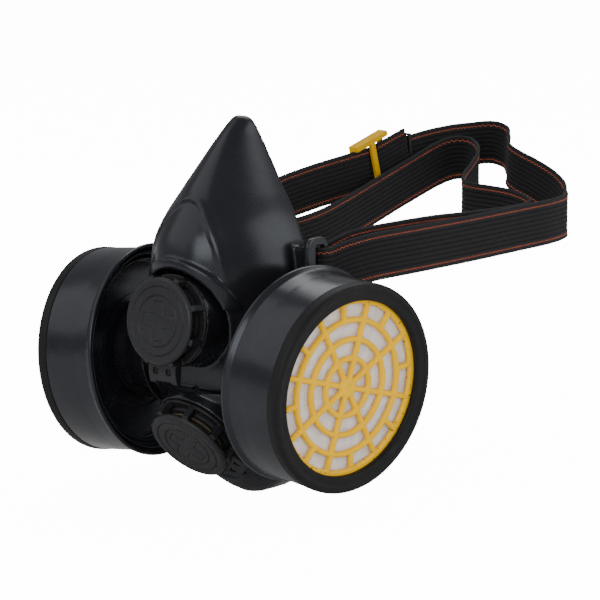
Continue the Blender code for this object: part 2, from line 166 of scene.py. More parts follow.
def buckle_frame():
    """Local X along the webbing, local Y across it upward, local Z towards the mask's middle."""
    along = Vector(BUCKLE_SLOPE).normalized()
    inward = Vector((1.0, 0.0, 0.0))
    turn = Matrix((along, inward.cross(along), inward)).transposed().to_4x4()
    return Matrix.Translation(Vector(BUCKLE_CENTRE) * MM) @ turn


# ---------------------------------------------------------------- meshes

def finish_mesh(name, shape):
    mesh = bpy.data.meshes.new(name)
    bmesh.ops.recalc_face_normals(shape, faces=shape.faces)
    shape.to_mesh(mesh)
    shape.free()
    return mesh


def add(name, mesh, group, place=None):
    item = bpy.data.objects.new(name, mesh)
    group.objects.link(item)
    if place is not None:
        item.matrix_world = place
    return item


def box_mesh(name, low, high):
    shape = bmesh.new()
    bmesh.ops.create_cube(shape, size=1.0)
    bmesh.ops.scale(shape, vec=(Vector(high) - Vector(low)) * MM, verts=shape.verts)
    bmesh.ops.translate(shape, vec=(Vector(high) + Vector(low)) / 2 * MM, verts=shape.verts)
    return finish_mesh(name, shape)


def rod_mesh(name, radius, low, high, top_radius=None):
    shape = bmesh.new()
    far = radius if top_radius is None else top_radius
    bmesh.ops.create_cone(shape, cap_ends=True, segments=96, radius1=radius * MM,
                          radius2=far * MM, depth=(high - low) * MM)
    bmesh.ops.translate(shape, vec=(0.0, 0.0, (high + low) / 2 * MM), verts=shape.verts)
    return finish_mesh(name, shape)


def softened(points, radius, closed=True, steps=5):
    """A profile with its corners rounded by short quadratic arcs."""
    count = len(points)
    out = []
    for i, point in enumerate(points):
        here = Vector(point)
        if not closed and i in (0, count - 1):
            out.append(here)
            continue
        back = Vector(points[i - 1]) - here
        ahead = Vector(points[(i + 1) % count]) - here
        reach_back = min(radius, back.length * 0.45)
        reach_ahead = min(radius, ahead.length * 0.45)
        start = here + back.normalized() * reach_back
        end = here + ahead.normalized() * reach_ahead
        for k in range(steps + 1):
            t = k / steps
            out.append(start * (1 - t) ** 2 + here * (2 * t * (1 - t)) + end * t * t)
    return [(p[0], p[1]) for p in out]


def lathe(name, profile, sides=128, closed=True):
    """A turned solid from (radius, height) points in mm; an open profile ends on the axis."""
    shape = bmesh.new()
    columns = []
    for radius, height in profile:
        if radius < 1e-6:
            columns.append([shape.verts.new((0.0, 0.0, height * MM))] * sides)
            continue
        column = []
        for i in range(sides):
            angle = 2 * pi * i / sides
            across, along = radius * cos(angle) * MM, radius * sin(angle) * MM
            column.append(shape.verts.new((across, along, height * MM)))
        columns.append(column)
    pairs = list(zip(columns[:-1], columns[1:]))
    if closed:
        pairs.append((columns[-1], columns[0]))
    for first, second in pairs:
        for i in range(sides):
            j = (i + 1) % sides
            corners = []
            for vert in (first[i], first[j], second[j], second[i]):
                if vert not in corners:
                    corners.append(vert)
            shape.faces.new(corners)
    return finish_mesh(name, shape)


def prism_mesh(name, outline, low, high):
    """An outline of (x, y) in mm, pulled from height low to height high."""
    shape = bmesh.new()
    lower = [shape.verts.new((x * MM, y * MM, low * MM)) for x, y in outline]
    upper = [shape.verts.new((x * MM, y * MM, high * MM)) for x, y in outline]
    shape.faces.new(lower)
    shape.faces.new(upper[::-1])
    count = len(outline)
    for i in range(count):
        j = (i + 1) % count
        shape.faces.new((lower[i], upper[i], upper[j], lower[j]))
    return finish_mesh(name, shape)


def sweep_mesh(name, rows, closed):
    """A skin over rows of points, each row one closed section."""
    shape = bmesh.new()
    made = [[shape.verts.new(p) for p in row] for row in rows]
    count = len(rows[0])
    pairs = list(zip(made[:-1], made[1:]))
    if closed:
        pairs.append((made[-1], made[0]))
    for first, second in pairs:
        for i in range(count):
            j = (i + 1) % count
            shape.faces.new((first[i], first[j], second[j], second[i]))
    if not closed:
        shape.faces.new(made[0])
        shape.faces.new(made[-1])
    return finish_mesh(name, shape)


def combine(item, tool, operation):
    change = item.modifiers.new(operation.lower(), "BOOLEAN")
    change.operation = operation
    change.solver = "MANIFOLD"
    change.object = tool


def moulded(item, name, voxel, passes, factor=0.5):
    """The item's evaluated shape, remeshed and eased so that every corner has a moulded radius."""
    remesh = item.modifiers.new("remesh", "REMESH")
    remesh.mode = "VOXEL"
    remesh.voxel_size = voxel * MM
    ease = item.modifiers.new("ease", "SMOOTH")
    ease.factor = factor
    ease.iterations = passes
    bpy.context.view_layer.update()
    depsgraph = bpy.context.evaluated_depsgraph_get()
    mesh = bpy.data.meshes.new_from_object(item.evaluated_get(depsgraph))
    mesh.name = name
    mesh.transform(item.matrix_world)
    return mesh


def clear_work():
    for item in list(work.objects):
        bpy.data.objects.remove(item, do_unlink=True)


def show(name, mesh, material, body, nodes, place=None, crease=None):
    item = add(name, mesh, shown, place)
    mesh.materials.clear()
    mesh.materials.append(material)
    mesh.shade_smooth()
    if crease is not None:
        mesh.set_sharp_from_angle(angle=radians(crease))
    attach(item, body)
    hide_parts(*nodes)
    return item


# ---------------------------------------------------------------- materials

# A Mix node's sockets go by number: its colour sockets share their names with those for other data
MIX_FACTOR, MIX_FIRST, MIX_SECOND, MIX_RESULT = 0, 6, 7, 2

BLUISH = (0.84, 0.90, 1.0)
PALE_DUST = (0.20, 0.195, 0.185)
BROWN_GRIME = (0.05, 0.035, 0.015)
DARK_FLECK = (0.020, 0.015, 0.008)


class Look:
    """A Principled material with a few shorthand nodes."""

    def __init__(self, name):
        self.material = bpy.data.materials.new(name)
        self.material.use_nodes = True
        self.tree = self.material.node_tree
        self.shader = self.tree.nodes["Principled BSDF"]
        self.where = self.node("ShaderNodeTexCoord").outputs["Object"]

    def node(self, kind, **settings):
        made = self.tree.nodes.new(kind)
        for key, value in settings.items():
            setattr(made, key, value)
        return made

    def join(self, source, target):
        self.tree.links.new(source, target)

    def noise(self, size, detail=4.0, roughness=0.55, where=None):
        """Noise whose features are about size millimetres across."""
        made = self.node("ShaderNodeTexNoise")
        made.inputs["Scale"].default_value = 1.0 / (size * MM)
        made.inputs["Detail"].default_value = detail
        made.inputs["Roughness"].default_value = roughness
        self.join(self.where if where is None else where, made.inputs["Vector"])
        return made.outputs["Fac"]

    def cells(self, size):
        made = self.node("ShaderNodeTexVoronoi")
        made.inputs["Scale"].default_value = 1.0 / (size * MM)
        self.join(self.where, made.inputs["Vector"])
        return made.outputs["Distance"]

    def spread(self, source, low, high, to_low, to_high):
        made = self.node("ShaderNodeMapRange")
        made.inputs["From Min"].default_value = low
        made.inputs["From Max"].default_value = high
        made.inputs["To Min"].default_value = to_low
        made.inputs["To Max"].default_value = to_high
        self.join(source, made.inputs["Value"])
        return made.outputs["Result"]

    def maths(self, operation, first, second):
        made = self.node("ShaderNodeMath", operation=operation)
        for value, socket in ((first, made.inputs[0]), (second, made.inputs[1])):
            if isinstance(value, (int, float)):
                socket.default_value = value
            else:
                self.join(value, socket)
        return made.outputs[0]

    def mix(self, factor, first, second):
        made = self.node("ShaderNodeMix", data_type="RGBA")
        self.join(factor, made.inputs[MIX_FACTOR])
        for value, socket in ((first, made.inputs[MIX_FIRST]), (second, made.inputs[MIX_SECOND])):
            if isinstance(value, tuple):
                socket.default_value = (*value, 1.0)
            else:
                self.join(value, socket)
        return made.outputs[MIX_RESULT]

    def clouds(self, size, detail, low, high):
        """Soft noise that runs from low to high."""
        return self.spread(self.noise(size, detail), 0.3, 0.7, low, high)

    def bump(self, height, distance, under=None):
        """Relief whose depth is distance millimetres, over the relief under it."""
        made = self.node("ShaderNodeBump")
        made.inputs["Strength"].default_value = 1.0
        made.inputs["Distance"].default_value = distance * MM
        self.join(height, made.inputs["Height"])
        if under is not None:
            self.join(under, made.inputs["Normal"])
        return made.outputs["Normal"]

    def put(self, **sockets):
        for key, value in sockets.items():
            socket = self.shader.inputs[key.replace("_", " ")]
            if isinstance(value, tuple):
                socket.default_value = (*value, 1.0)
            elif isinstance(value, (int, float)):
                socket.default_value = value
            else:
                self.join(value, socket)
        return self

    def edge_wear(self, amount):
        """1 on worn convex edges, broken up by noise."""
        pointy = self.node("ShaderNodeNewGeometry").outputs["Pointiness"]
        edge = self.spread(pointy, 0.53, 0.62, 0.0, amount)
        return self.maths("MULTIPLY", edge, self.noise(3.0))

    def dust(self, amount):
        """Small pale specks."""
        speck = self.spread(self.noise(0.9, 2.0), 0.70, 0.76, 0.0, 1.0)
        patch = self.spread(self.noise(16.0, 3.0), 0.42, 0.66, 0.0, amount)
        return self.maths("MULTIPLY", speck, patch)


def plastic(name, dark, light, rough_low, rough_high, grain, depth, wear=0.25, coat=0.0, dust=0.5,
            shine=0.38, glint=(1.0, 1.0, 1.0)):
    """Clouded dark plastic or rubber; grain and depth are its fine relief in millimetres."""
    look = Look(name)
    colour = look.mix(look.clouds(22.0, 5.0, 0.0, 1.0), dark, light)
    worn = tuple(min(c * 2.6 + 0.02, 1.0) for c in light)
    colour = look.mix(look.edge_wear(wear), colour, worn)
    colour = look.mix(look.dust(dust), colour, PALE_DUST)
    fine = look.bump(look.noise(grain, 3.0), depth)
    wave = look.bump(look.noise(18.0, 1.0), 0.03, fine)
    look.put(Base_Color=colour, Roughness=look.clouds(7.0, 6.0, rough_low, rough_high), Normal=wave,
             Coat_Weight=coat, Coat_Roughness=0.25, Specular_IOR_Level=shine, Specular_Tint=glint)
    return look.material


def make_looks():
    return {
        "facepiece": plastic("moulded_rubber", (0.0085, 0.0085, 0.010), (0.012, 0.012, 0.0145),
                             0.24, 0.31, 0.45, 0.0012, wear=0.0, coat=0.15, dust=0.10, glint=BLUISH),
        "canister": plastic("canister_plastic", (0.0108, 0.0112, 0.0140), (0.0148, 0.0155, 0.0190),
                            0.19, 0.27, 0.40, 0.004, wear=0.22, coat=0.16, dust=0.16,
                            shine=0.34, glint=BLUISH),
        "bezel": plastic("bezel_plastic", (0.0078, 0.0078, 0.0085), (0.0112, 0.0112, 0.0120),
                         0.46, 0.56, 0.35, 0.010, wear=0.20, dust=0.2, shine=0.20),
        "cover": plastic("cover_plastic", (0.011, 0.011, 0.0125), (0.017, 0.017, 0.019),
                         0.40, 0.52, 0.35, 0.014, wear=0.30, dust=0.2),
        "valve": plastic("valve_plastic", (0.016, 0.016, 0.017), (0.024, 0.024, 0.026),
                         0.40, 0.52, 0.40, 0.010),
        "gasket": plastic("gasket_rubber", (0.016, 0.016, 0.016), (0.024, 0.024, 0.024),
                          0.55, 0.70, 0.40, 0.012, dust=0.8),
        "silicone": silicone(),
        "yellow": yellow("yellow_plastic", (0.90, 0.49, 0.0), (0.98, 0.56, 0.0)),
        "buckle": yellow("buckle_plastic", (0.74, 0.40, 0.0), (0.82, 0.46, 0.0)),
        "felt": felt(),
        "carbon": carbon(),
        "webbing": webbing(),
        "thread": thread(),
    }


def silicone():
    look = Look("silicone")
    colour = look.mix(look.noise(9.0), (0.070, 0.060, 0.036), (0.110, 0.096, 0.062))
    look.put(Base_Color=colour, Roughness=look.clouds(4.0, 4.0, 0.35, 0.5),
             Subsurface_Weight=0.35, Subsurface_Scale=0.002,
             Normal=look.bump(look.noise(0.6), 0.01))
    return look.material


def yellow(name, deep, pale):
    """Yellow plastic with patches of grime, and dark flecks near the grille's rim."""
    look = Look(name)
    colour = look.mix(look.clouds(14.0, 4.0, 0.0, 1.0), deep, pale)
    grime = look.spread(look.noise(2.4, 5.0, 0.6), 0.64, 0.72, 0.0, 0.75)
    patch = look.spread(look.noise(13.0, 2.0), 0.50, 0.64, 0.0, 1.0)
    colour = look.mix(look.maths("MULTIPLY", grime, patch), colour, BROWN_GRIME)
    reach = look.node("ShaderNodeVectorMath", operation="LENGTH")
    look.join(look.where, reach.inputs[0])
    rim = look.spread(reach.outputs["Value"], 31.5 * MM, 34.0 * MM, 0.0, 1.0)
    fleck = look.spread(look.noise(1.7, 4.0, 0.6), 0.62, 0.66, 0.0, 0.9)
    colour = look.mix(look.maths("MULTIPLY", rim, fleck), colour, DARK_FLECK)
    look.put(Base_Color=colour, Roughness=look.clouds(3.0, 5.0, 0.34, 0.48), Specular_IOR_Level=0.08,
             Normal=look.bump(look.noise(0.5, 3.0), 0.012))
    return look.material


def felt():
    """Pale tufted felt with drawn-out fibres and a few dark specks."""
    look = Look("filter_felt")
    stretch = look.node("ShaderNodeMapping")
    stretch.inputs["Scale"].default_value = (1.0, 3.2, 1.0)
    look.join(look.where, stretch.inputs["Vector"])
    fibre = look.noise(1.5, 8.0, 0.7, stretch.outputs["Vector"])
    tuft = look.noise(4.5, 5.0, 0.6)
    shade = look.spread(tuft, 0.32, 0.68, 0.0, 1.0)
    colour = look.mix(shade, (0.70, 0.66, 0.65), (0.95, 0.925, 0.915))
    colour = look.mix(look.spread(fibre, 0.35, 0.6, 0.6, 0.0), colour, (0.66, 0.60, 0.585))
    speck = look.spread(look.noise(1.3, 3.0), 0.72, 0.77, 0.0, 0.5)
    colour = look.mix(speck, colour, (0.20, 0.17, 0.15))
    look.put(Base_Color=colour, Roughness=0.96, Sheen_Weight=0.35, Sheen_Roughness=0.6,
             Normal=look.bump(tuft, 0.5, look.bump(fibre, 0.35)))
    return look.material


def carbon():
    look = Look("activated_carbon")
    grain = look.cells(1.1)
    colour = look.mix(look.spread(grain, 0.1, 0.6, 0.0, 1.0),
                      (0.006, 0.006, 0.006), (0.03, 0.03, 0.032))
    look.put(Base_Color=colour, Roughness=look.clouds(1.0, 4.0, 0.45, 0.8),
             Normal=look.bump(grain, 0.6))
    return look.material


def webbing():
    """Ribbed elastic: a fine cross weave, and painted shade that darkens the valleys between the ribs,
    from the measures that band_mesh stores on each point.
    """
    look = Look("elastic_webbing")
    weave = 0.62
    along = look.node("ShaderNodeAttribute", attribute_name="along").outputs["Fac"]
    across = look.node("ShaderNodeAttribute", attribute_name="across").outputs["Fac"]
    turn = look.maths("MULTIPLY", along, 2 * pi / weave)
    skew = look.maths("MULTIPLY", look.maths("SINE", look.maths("MULTIPLY", across, pi), 0.0), 1.1)
    wale = look.maths("SINE", look.maths("ADD", turn, skew), 0.0)
    yarn = look.spread(wale, -1.0, 1.0, 0.0, 1.0)
    fuzz = look.noise(0.35, 4.0, 0.7)
    colour = look.mix(look.spread(look.maths("ADD", yarn, fuzz), 0.3, 1.6, 0.0, 1.0),
                      (0.005, 0.005, 0.006), (0.0175, 0.0172, 0.0198))
    # Painted shade: where the rib height is low, in the valleys between the ribs, the colour is pulled
    # near black
    rib_for_painted_shade = look.node("ShaderNodeAttribute", attribute_name="rib").outputs["Fac"]
    colour = look.mix(look.spread(rib_for_painted_shade, 0.25, 0.9, 0.95, 0.0), colour, (0.0008, 0.0008, 0.0008))
    lint = look.spread(look.noise(0.9, 3.0), 0.71, 0.78, 0.0, 0.25)
    colour = look.mix(lint, colour, (0.10, 0.095, 0.09))
    look.put(Base_Color=colour, Roughness=look.spread(fuzz, 0.3, 0.7, 0.70, 0.92),
             Specular_IOR_Level=0.22, Sheen_Weight=0.04, Sheen_Roughness=0.5,
             Normal=look.bump(fuzz, 0.08, look.bump(yarn, 0.10)))
    return look.material


def thread():
    look = Look("stitching_thread")
    colour = look.mix(look.spread(look.noise(1.2, 3.0), 0.35, 0.65, 0.0, 1.0),
                      (0.52, 0.075, 0.025), (0.90, 0.19, 0.07))
    look.put(Base_Color=colour, Roughness=0.7, Sheen_Weight=0.2,
             Normal=look.bump(look.noise(0.2, 3.0), 0.05))
    return look.material


# ---------------------------------------------------------------- facepiece

def smooth_value(position, column):
    """The hood's half width, back edge or front line at a height, on a smooth curve."""
    rows = HOOD_LEVELS
    for upper, lower in zip(rows[:-1], rows[1:]):
        if lower[0] <= position <= upper[0]:
            break
    index = rows.index(upper)
    before = rows[max(index - 1, 0)]
    after = rows[min(index + 2, len(rows) - 1)]
    span = lower[0] - upper[0]
    share = (position - upper[0]) / span
    start_slope = (lower[column] - before[column]) / (lower[0] - before[0]) * span
    end_slope = (after[column] - upper[column]) / (after[0] - upper[0]) * span
    if index == 0:
        start_slope = (lower[column] - upper[column]) * 1.6
    square = share * share
    cube = square * share
    return ((2 * cube - 3 * square + 1) * upper[column] + (cube - 2 * square + share) * start_slope
            + (3 * square - 2 * cube) * lower[column] + (cube - square) * end_slope)


# The front panel seen from the front, its right half: a rounded triangle with upright lower sides
PANEL_EDGE = ((0.0, 59.5), (3.6, 58.6), (7.0, 55.6), (10.2, 51.6), (13.0, 47.2), (15.4, 42.6),
              (17.2, 37.6), (18.4, 32.0), (19.3, 26.0), (20.0, 18.0), (20.4, 8.0), (20.2, -4.0),
              (19.6, -30.0))
PANEL_DEPTH = 0.95
PANEL_RAMP = 1.8
BEAD_HEIGHT = 0.40
BEAD_OFFSET = 1.5


def panel_distance(x, z):
    """How far a front point lies inside the panel's edge, in mm; negative outside."""
    here = Vector((abs(x), z))
    nearest = 99.0
    reach = -1.0
    for first, second in zip(PANEL_EDGE[:-1], PANEL_EDGE[1:]):
        a, b = Vector(first), Vector(second)
        share = max(0.0, min(1.0, (here - a).dot(b - a) / (b - a).length_squared))
        nearest = min(nearest, (here - a.lerp(b, share)).length)
        if b.y <= z <= a.y:
            reach = a.x + (b.x - a.x) * (z - a.y) / (b.y - a.y)
    return nearest if here.x < reach else -nearest


def panel_push(x, z):
    """The panel's depth below the hood, with a low bead along its edge."""
    if abs(x) > 24.0 or z > 63.0 or z < -30.0:
        return 0.0
    inside = panel_distance(x, z)
    share = max(0.0, min(1.0, inside / PANEL_RAMP + 0.5))
    bead = BEAD_HEIGHT * exp(-(inside + BEAD_OFFSET) ** 2)
    return PANEL_DEPTH * share * share * (3 - 2 * share) - bead


def hood_mesh(name, inset, top=HOOD_TOP, bottom=HOOD_BOTTOM, back=0.0, steps_up=84, steps_round=64,
              panel=False):
    """The hood's outer form, drawn in by inset; back carries it on behind the face opening."""
    shape = bmesh.new()
    rows = []
    for step in range(steps_up + 1):
        share = 0.5 - 0.5 * cos(pi * step / steps_up)
        height = top + (bottom - top) * (0.5 * share + 0.5 * step / steps_up)
        width = max(smooth_value(height, HALF_WIDTH) - inset, 0.8)
        rear = smooth_value(height, BACK_EDGE)
        depth = max(rear - smooth_value(height, FRONT_LINE) - inset, 0.8)
        row = []
        for turn in range(steps_round + 1):
            angle = pi * turn / steps_round
            across = width * abs(cos(angle)) ** HOOD_SQUARENESS * (1 if cos(angle) >= 0 else -1)
            along = rear - depth * sin(angle) ** HOOD_SQUARENESS
            if panel and along < -12.0:
                along += panel_push(across, height)
            row.append(shape.verts.new(Vector((across, along, height)) * MM))
        if back:
            row.append(shape.verts.new(Vector((-width, rear + back, height)) * MM))
            row.append(shape.verts.new(Vector((width, rear + back, height)) * MM))
        rows.append(row)
    count = len(rows[0])
    for upper, lower in zip(rows[:-1], rows[1:]):
        for i in range(count):
            j = (i + 1) % count
            shape.faces.new((upper[i], upper[j], lower[j], lower[i]))
    shape.faces.new(rows[0])
    shape.faces.new(rows[-1])
    return finish_mesh(name, shape)


def lip_outline():
    """The arched lip over the upper valve, seen from the front; the pocket is cut out of it later."""
    arc = [radians(12 + 156 * i / 40) for i in range(41)]
    return [(LIP_RADIUS * cos(t), LIP_CENTRE + LIP_RADIUS * sin(t)) for t in arc]


def lug(side):
    """A slotted strap lug: a plate beside the mask on a foot that runs into the hood."""
    x, y, z = LUG_SLOT

    def block(name, near, far, low, high):
        ends = sorted((side * near, side * far))
        mesh = box_mesh(name, (ends[0], low[0], low[1]), (ends[1], high[0], high[1]))
        return add(name, mesh, work)

    half_thickness, half_height, half_slot = 1.2, 14.4, 10.9
    front, back, low, high = y - 8.0, y + 5.5, z - half_height, z + half_height
    outline = softened([(front, low), (back, low), (back, high), (front, high)], 5.0)
    blank = prism_mesh("lug_plate", outline, side * x - half_thickness, side * x + half_thickness)
    plate = add("lug_plate", blank, work, PRISM_ALONG_X)
    foot = block("lug_foot", 27.5, x + 0.6, (y - 7.4, z - 11.5), (y - 3.8, z + 10.5))
    slot = block("lug_slot", x - 3.0, x + 3.0, (y - 2.4, z - half_slot), (y + 2.4, z + half_slot))
    combine(plate, foot, "UNION")
    combine(plate, slot, "DIFFERENCE")
    return plate


def ring_tool(name, inner, outer, low, high, place=None):
    mesh = lathe(name, [(outer, high), (outer, low), (inner, low), (inner, high)], 96)
    return add(name, mesh, work, place)


def ease_pocket_rim(mesh, place):
    """Extra smoothing on the sharp rim where the pocket and the doorway open through the hood."""
    shape = bmesh.new()
    shape.from_mesh(mesh)
    inverse = place.inverted()
    rim = []
    for vert in shape.verts:
        local = inverse @ vert.co
        reach = Vector((local.x, local.y)).length / MM
        on_pocket = local.z > -RIM_DEPTH * MM and abs(reach - POCKET_RADIUS) < RIM_REACH
        x, y, z = vert.co / MM
        on_doorway = y < -34.0 and abs(z) < 16.0 and abs(abs(x) - DOORWAY_HALF) < RIM_REACH
        if on_pocket or on_doorway:
            rim.append(vert)
    for _ in range(24):
        bmesh.ops.smooth_vert(shape, verts=rim, factor=0.5,
                              use_axis_x=True, use_axis_y=True, use_axis_z=True)
    shape.to_mesh(mesh)
    shape.free()


def make_facepiece(looks):
    """The shell in one moulding; a rod's heights run from its valve's or canister's front face."""
    hood = hood_mesh("hood", 0.0, steps_up=240, steps_round=170, panel=True)
    item = add("hood", hood, work)
    upper = valve_frame(UPPER_COVER_FACE, UPPER_COVER_TILT)
    lower = valve_frame(LOWER_COVER_FACE, LOWER_COVER_TILT)
    ports = [canister_frame(side) for side in (1, -1)]

    def rod(name, radius, low, high, place, top_radius=None):
        return add(name, rod_mesh(name, radius, low, high, top_radius), work, place)

    def doorway(name, wall, front):
        """The opening under the upper valve, or with a wall, the block that keeps a wall round it."""
        mesh = box_mesh(name, (-DOORWAY_HALF - wall, front, DOORWAY_LOW - wall),
                        (DOORWAY_HALF + wall, DOORWAY_BACK + wall, DOORWAY_TOP))
        return add(name, mesh, work)

    combine(item, rod("lower_clearance", LOWER_CLEARANCE, -LOWER_DEPTH, 20.0, lower), "DIFFERENCE")
    combine(item, rod("lower_boss", LOWER_BOSS, -34.0, -9.3, lower), "UNION")
    lip = add("lip", prism_mesh("lip", lip_outline(), 30.0, 80.0), work, Matrix.Rotation(pi / 2, 4, "X"))
    combine(lip, add("lip_skin", hood_mesh("lip_skin", -0.8), work), "INTERSECT")
    combine(item, lip, "UNION")
    combine(item, rod("pocket", POCKET_RADIUS, -POCKET_DEPTH, 10.0, upper), "DIFFERENCE")
    combine(item, doorway("recess", 0.0, -70.0), "DIFFERENCE")

    # The cavity stops a wall's thickness short of the pocket, the doorway and the lower valve's room
    cavity = add("cavity", hood_mesh("cavity", WALL, top=86.5, bottom=-61.8, back=8.0), work)
    guards = [rod("guard_pocket", POCKET_RADIUS + WALL, -POCKET_DEPTH - WALL, 20.0, upper),
              doorway("guard_recess", WALL, -80.0),
              rod("guard_lower", LOWER_BOSS + 1.0, -26.5, 20.0, lower),
              rod("guard_clearance", LOWER_CLEARANCE + WALL, -LOWER_DEPTH - WALL, 20.0, lower)]
    for guard in guards:
        combine(cavity, guard, "DIFFERENCE")
    combine(item, cavity, "DIFFERENCE")

    combine(item, ring_tool("housing", 15.2, 18.6, -25.0, -9.3, upper), "UNION")
    for place in ports:
        combine(item, rod("port_boss", PORT_RADIUS, -46.0, -21.6, place), "UNION")
        combine(item, rod("port_skirt", 23.5, -40.0, -29.5, place, 20.0), "UNION")
    for side in (1, -1):
        combine(item, lug(side), "UNION")

    combine(item, rod("upper_bore", VALVE_BORE, -32.0, -9.0, upper), "DIFFERENCE")
    combine(item, rod("lower_socket", 15.3, -21.0, 0.0, lower), "DIFFERENCE")
    combine(item, rod("lower_bore", VALVE_BORE, -40.0, -9.0, lower), "DIFFERENCE")
    for place in ports:
        combine(item, rod("port_bore", 13.7, -42.0, -15.0, place), "DIFFERENCE")
        combine(item, rod("port_well", PORT_RADIUS - WALL, -47.5, -39.0, place), "DIFFERENCE")

    mesh = moulded(item, "facepiece_skin", 0.5, 9)
    clear_work()
    ease_pocket_rim(mesh, upper)
    show("facepiece_skin", mesh, looks["facepiece"], "mask_frame", ["facepiece"])


# ---------------------------------------------------------------- valve covers

def cross_outline(arm, half):
    points = [(arm, half), (arm, -half), (half, -half), (half, -arm), (-half, -arm), (-half, -half),
              (-arm, -half), (-arm, half), (-half, half), (-half, arm), (half, arm), (half, half)]
    return softened(points, 0.9)


def cover_mesh():
    """The caged cover about its own axis: grooved disc, cross, ribs, rim and latch block."""
    face = [(0.0, 0.0), (16.6, 0.0), (17.6, -1.0), (17.4, -2.5), (16.0, -2.0), (0.0, -2.0)]
    item = add("disc", lathe("disc", softened(face, 0.5, closed=False), closed=False), work)
    groove_half, groove_depth = 0.35, 0.55
    for radius in (13.9, 10.3):
        groove = ring_tool("groove", radius - groove_half, radius + groove_half, -groove_depth, 1.0)
        combine(item, groove, "DIFFERENCE")
    plus = add("plus", prism_mesh("plus", cross_outline(8.3, 3.0), -0.5, 1.0), work)
    inside = add("plus_inside", prism_mesh("plus_inside", cross_outline(7.6, 2.3), -2.0, 2.0), work)
    combine(plus, inside, "DIFFERENCE")
    combine(item, plus, "DIFFERENCE")

    rim_radius = 18.7
    combine(item, ring_tool("rim", 15.4, rim_radius, -9.0, -7.7), "UNION")
    for number in range(8):
        turn = Matrix.Rotation(radians(22.5 + 45 * number), 4, "Z")
        rib = add("rib", box_mesh("rib", (15.6, -1.25, -8.6), (rim_radius, 1.25, -2.0)), work, turn)
        combine(item, rib, "UNION")
    outline = [(-16.0, -4.3), (-20.6, -4.5), (-25.0, -6.0), (-25.6, -8.2), (-16.0, -8.2)]
    latch = add("latch", prism_mesh("latch", outline, -7.3, 7.3), work, PRISM_ALONG_X)
    for x in (-3.4, 3.4):
        slot = add("slot", box_mesh("slot", (x - 1.4, -21.4, -6.0), (x + 1.4, -19.0, 0.0)), work)
        combine(latch, slot, "DIFFERENCE")
    notch = add("notch", box_mesh("notch", (-4.4, -28.0, -9.0), (4.4, -24.3, -4.4)), work)
    combine(latch, notch, "DIFFERENCE")
    combine(item, latch, "UNION")
    mesh = moulded(item, "valve_cover", 0.26, 3)
    clear_work()
    return mesh


def make_covers(looks):
    mesh = cover_mesh()
    for name, face, tilt, twist in (("upper", UPPER_COVER_FACE, UPPER_COVER_TILT, 0.0),
                                    ("lower", LOWER_COVER_FACE, LOWER_COVER_TILT, radians(45))):
        show(name + "_cover_shell", mesh.copy(), looks["cover"], name + "_cover",
             [name + "_valve_cover"], valve_frame(face, tilt, twist))


# ---------------------------------------------------------------- canisters

def canister_meshes():
    """The cup, with its rolled rear rim and the step behind it, and the bezel ring."""
    cup = [(42.3, -5.05), (42.3, -20.0), (42.6, -26.6), (43.4, -27.6), (44.1, -28.4), (44.1, -29.5),
           (43.5, -30.0), (42.7, -29.8), (42.3, -27.4), (41.4, -27.2), (41.1, -28.8), (40.3, -28.9),
           (39.9, -25.4), (38.6, -25.2), (38.2, -26.0), (37.5, -25.9), (37.0, -20.6), (24.2, -20.4),
           (23.6, -20.0), (13.6, -20.0), (13.6, -18.0), (40.0, -18.0), (40.0, -5.05)]
    bezel = [(39.4, -0.25), (40.0, 0.0), (41.4, -0.1), (42.3, -0.8), (42.6, -2.0), (42.5, -5.0),
             (39.0, -5.0), (39.0, -3.0), (35.5, -3.0), (35.4, -1.3), (36.2, -0.5), (38.6, -0.4)]
    return lathe("canister_cup", softened(cup, 0.45), 160), lathe("bezel", softened(bezel, 0.4), 160)


def grille_mesh():
    """Rounded bars and rings, run together like one moulding."""
    back = -5.2
    edge = [(38.4, -3.6), (38.4, back), (33.7, back), (33.7, -3.8), (34.5, -3.3), (37.8, -3.3)]
    outer = add("plate", lathe("plate", softened(edge, 0.3), 160), work)
    half = 1.15
    arch = [(-half, back), (half, back), (half, -4.1), (half * 0.72, -3.45), (half * 0.3, -3.25),
            (-half * 0.3, -3.25), (-half * 0.72, -3.45), (-half, -4.1)]
    ring_radii = [share * WINDOW_RADIUS for share in (0.33, 0.55, 0.77)]
    for centre in ring_radii:
        ring = lathe("ring", [(centre + x, z) for x, z in arch])
        combine(outer, add("ring", ring, work), "UNION")
    button = [(0.0, -3.0), (3.6, -3.0), (4.4, -3.9), (4.4, back), (0.0, back)]
    hub = lathe("hub", softened(button, 0.6, closed=False), 64, closed=False)
    combine(outer, add("hub", hub, work), "UNION")
    for number in range(16):
        start = 3.0 if number % 2 == 0 else ring_radii[-1]
        rows = [[Vector((reach, x, z)) * MM for x, z in arch] for reach in (start, 35.0)]
        place = Matrix.Rotation(radians(31 + 22.5 * number), 4, "Z")
        combine(outer, add("spoke", sweep_mesh("spoke", rows, False), work, place), "UNION")
    mesh = moulded(outer, "grille", 0.30, 3)
    clear_work()
    return mesh


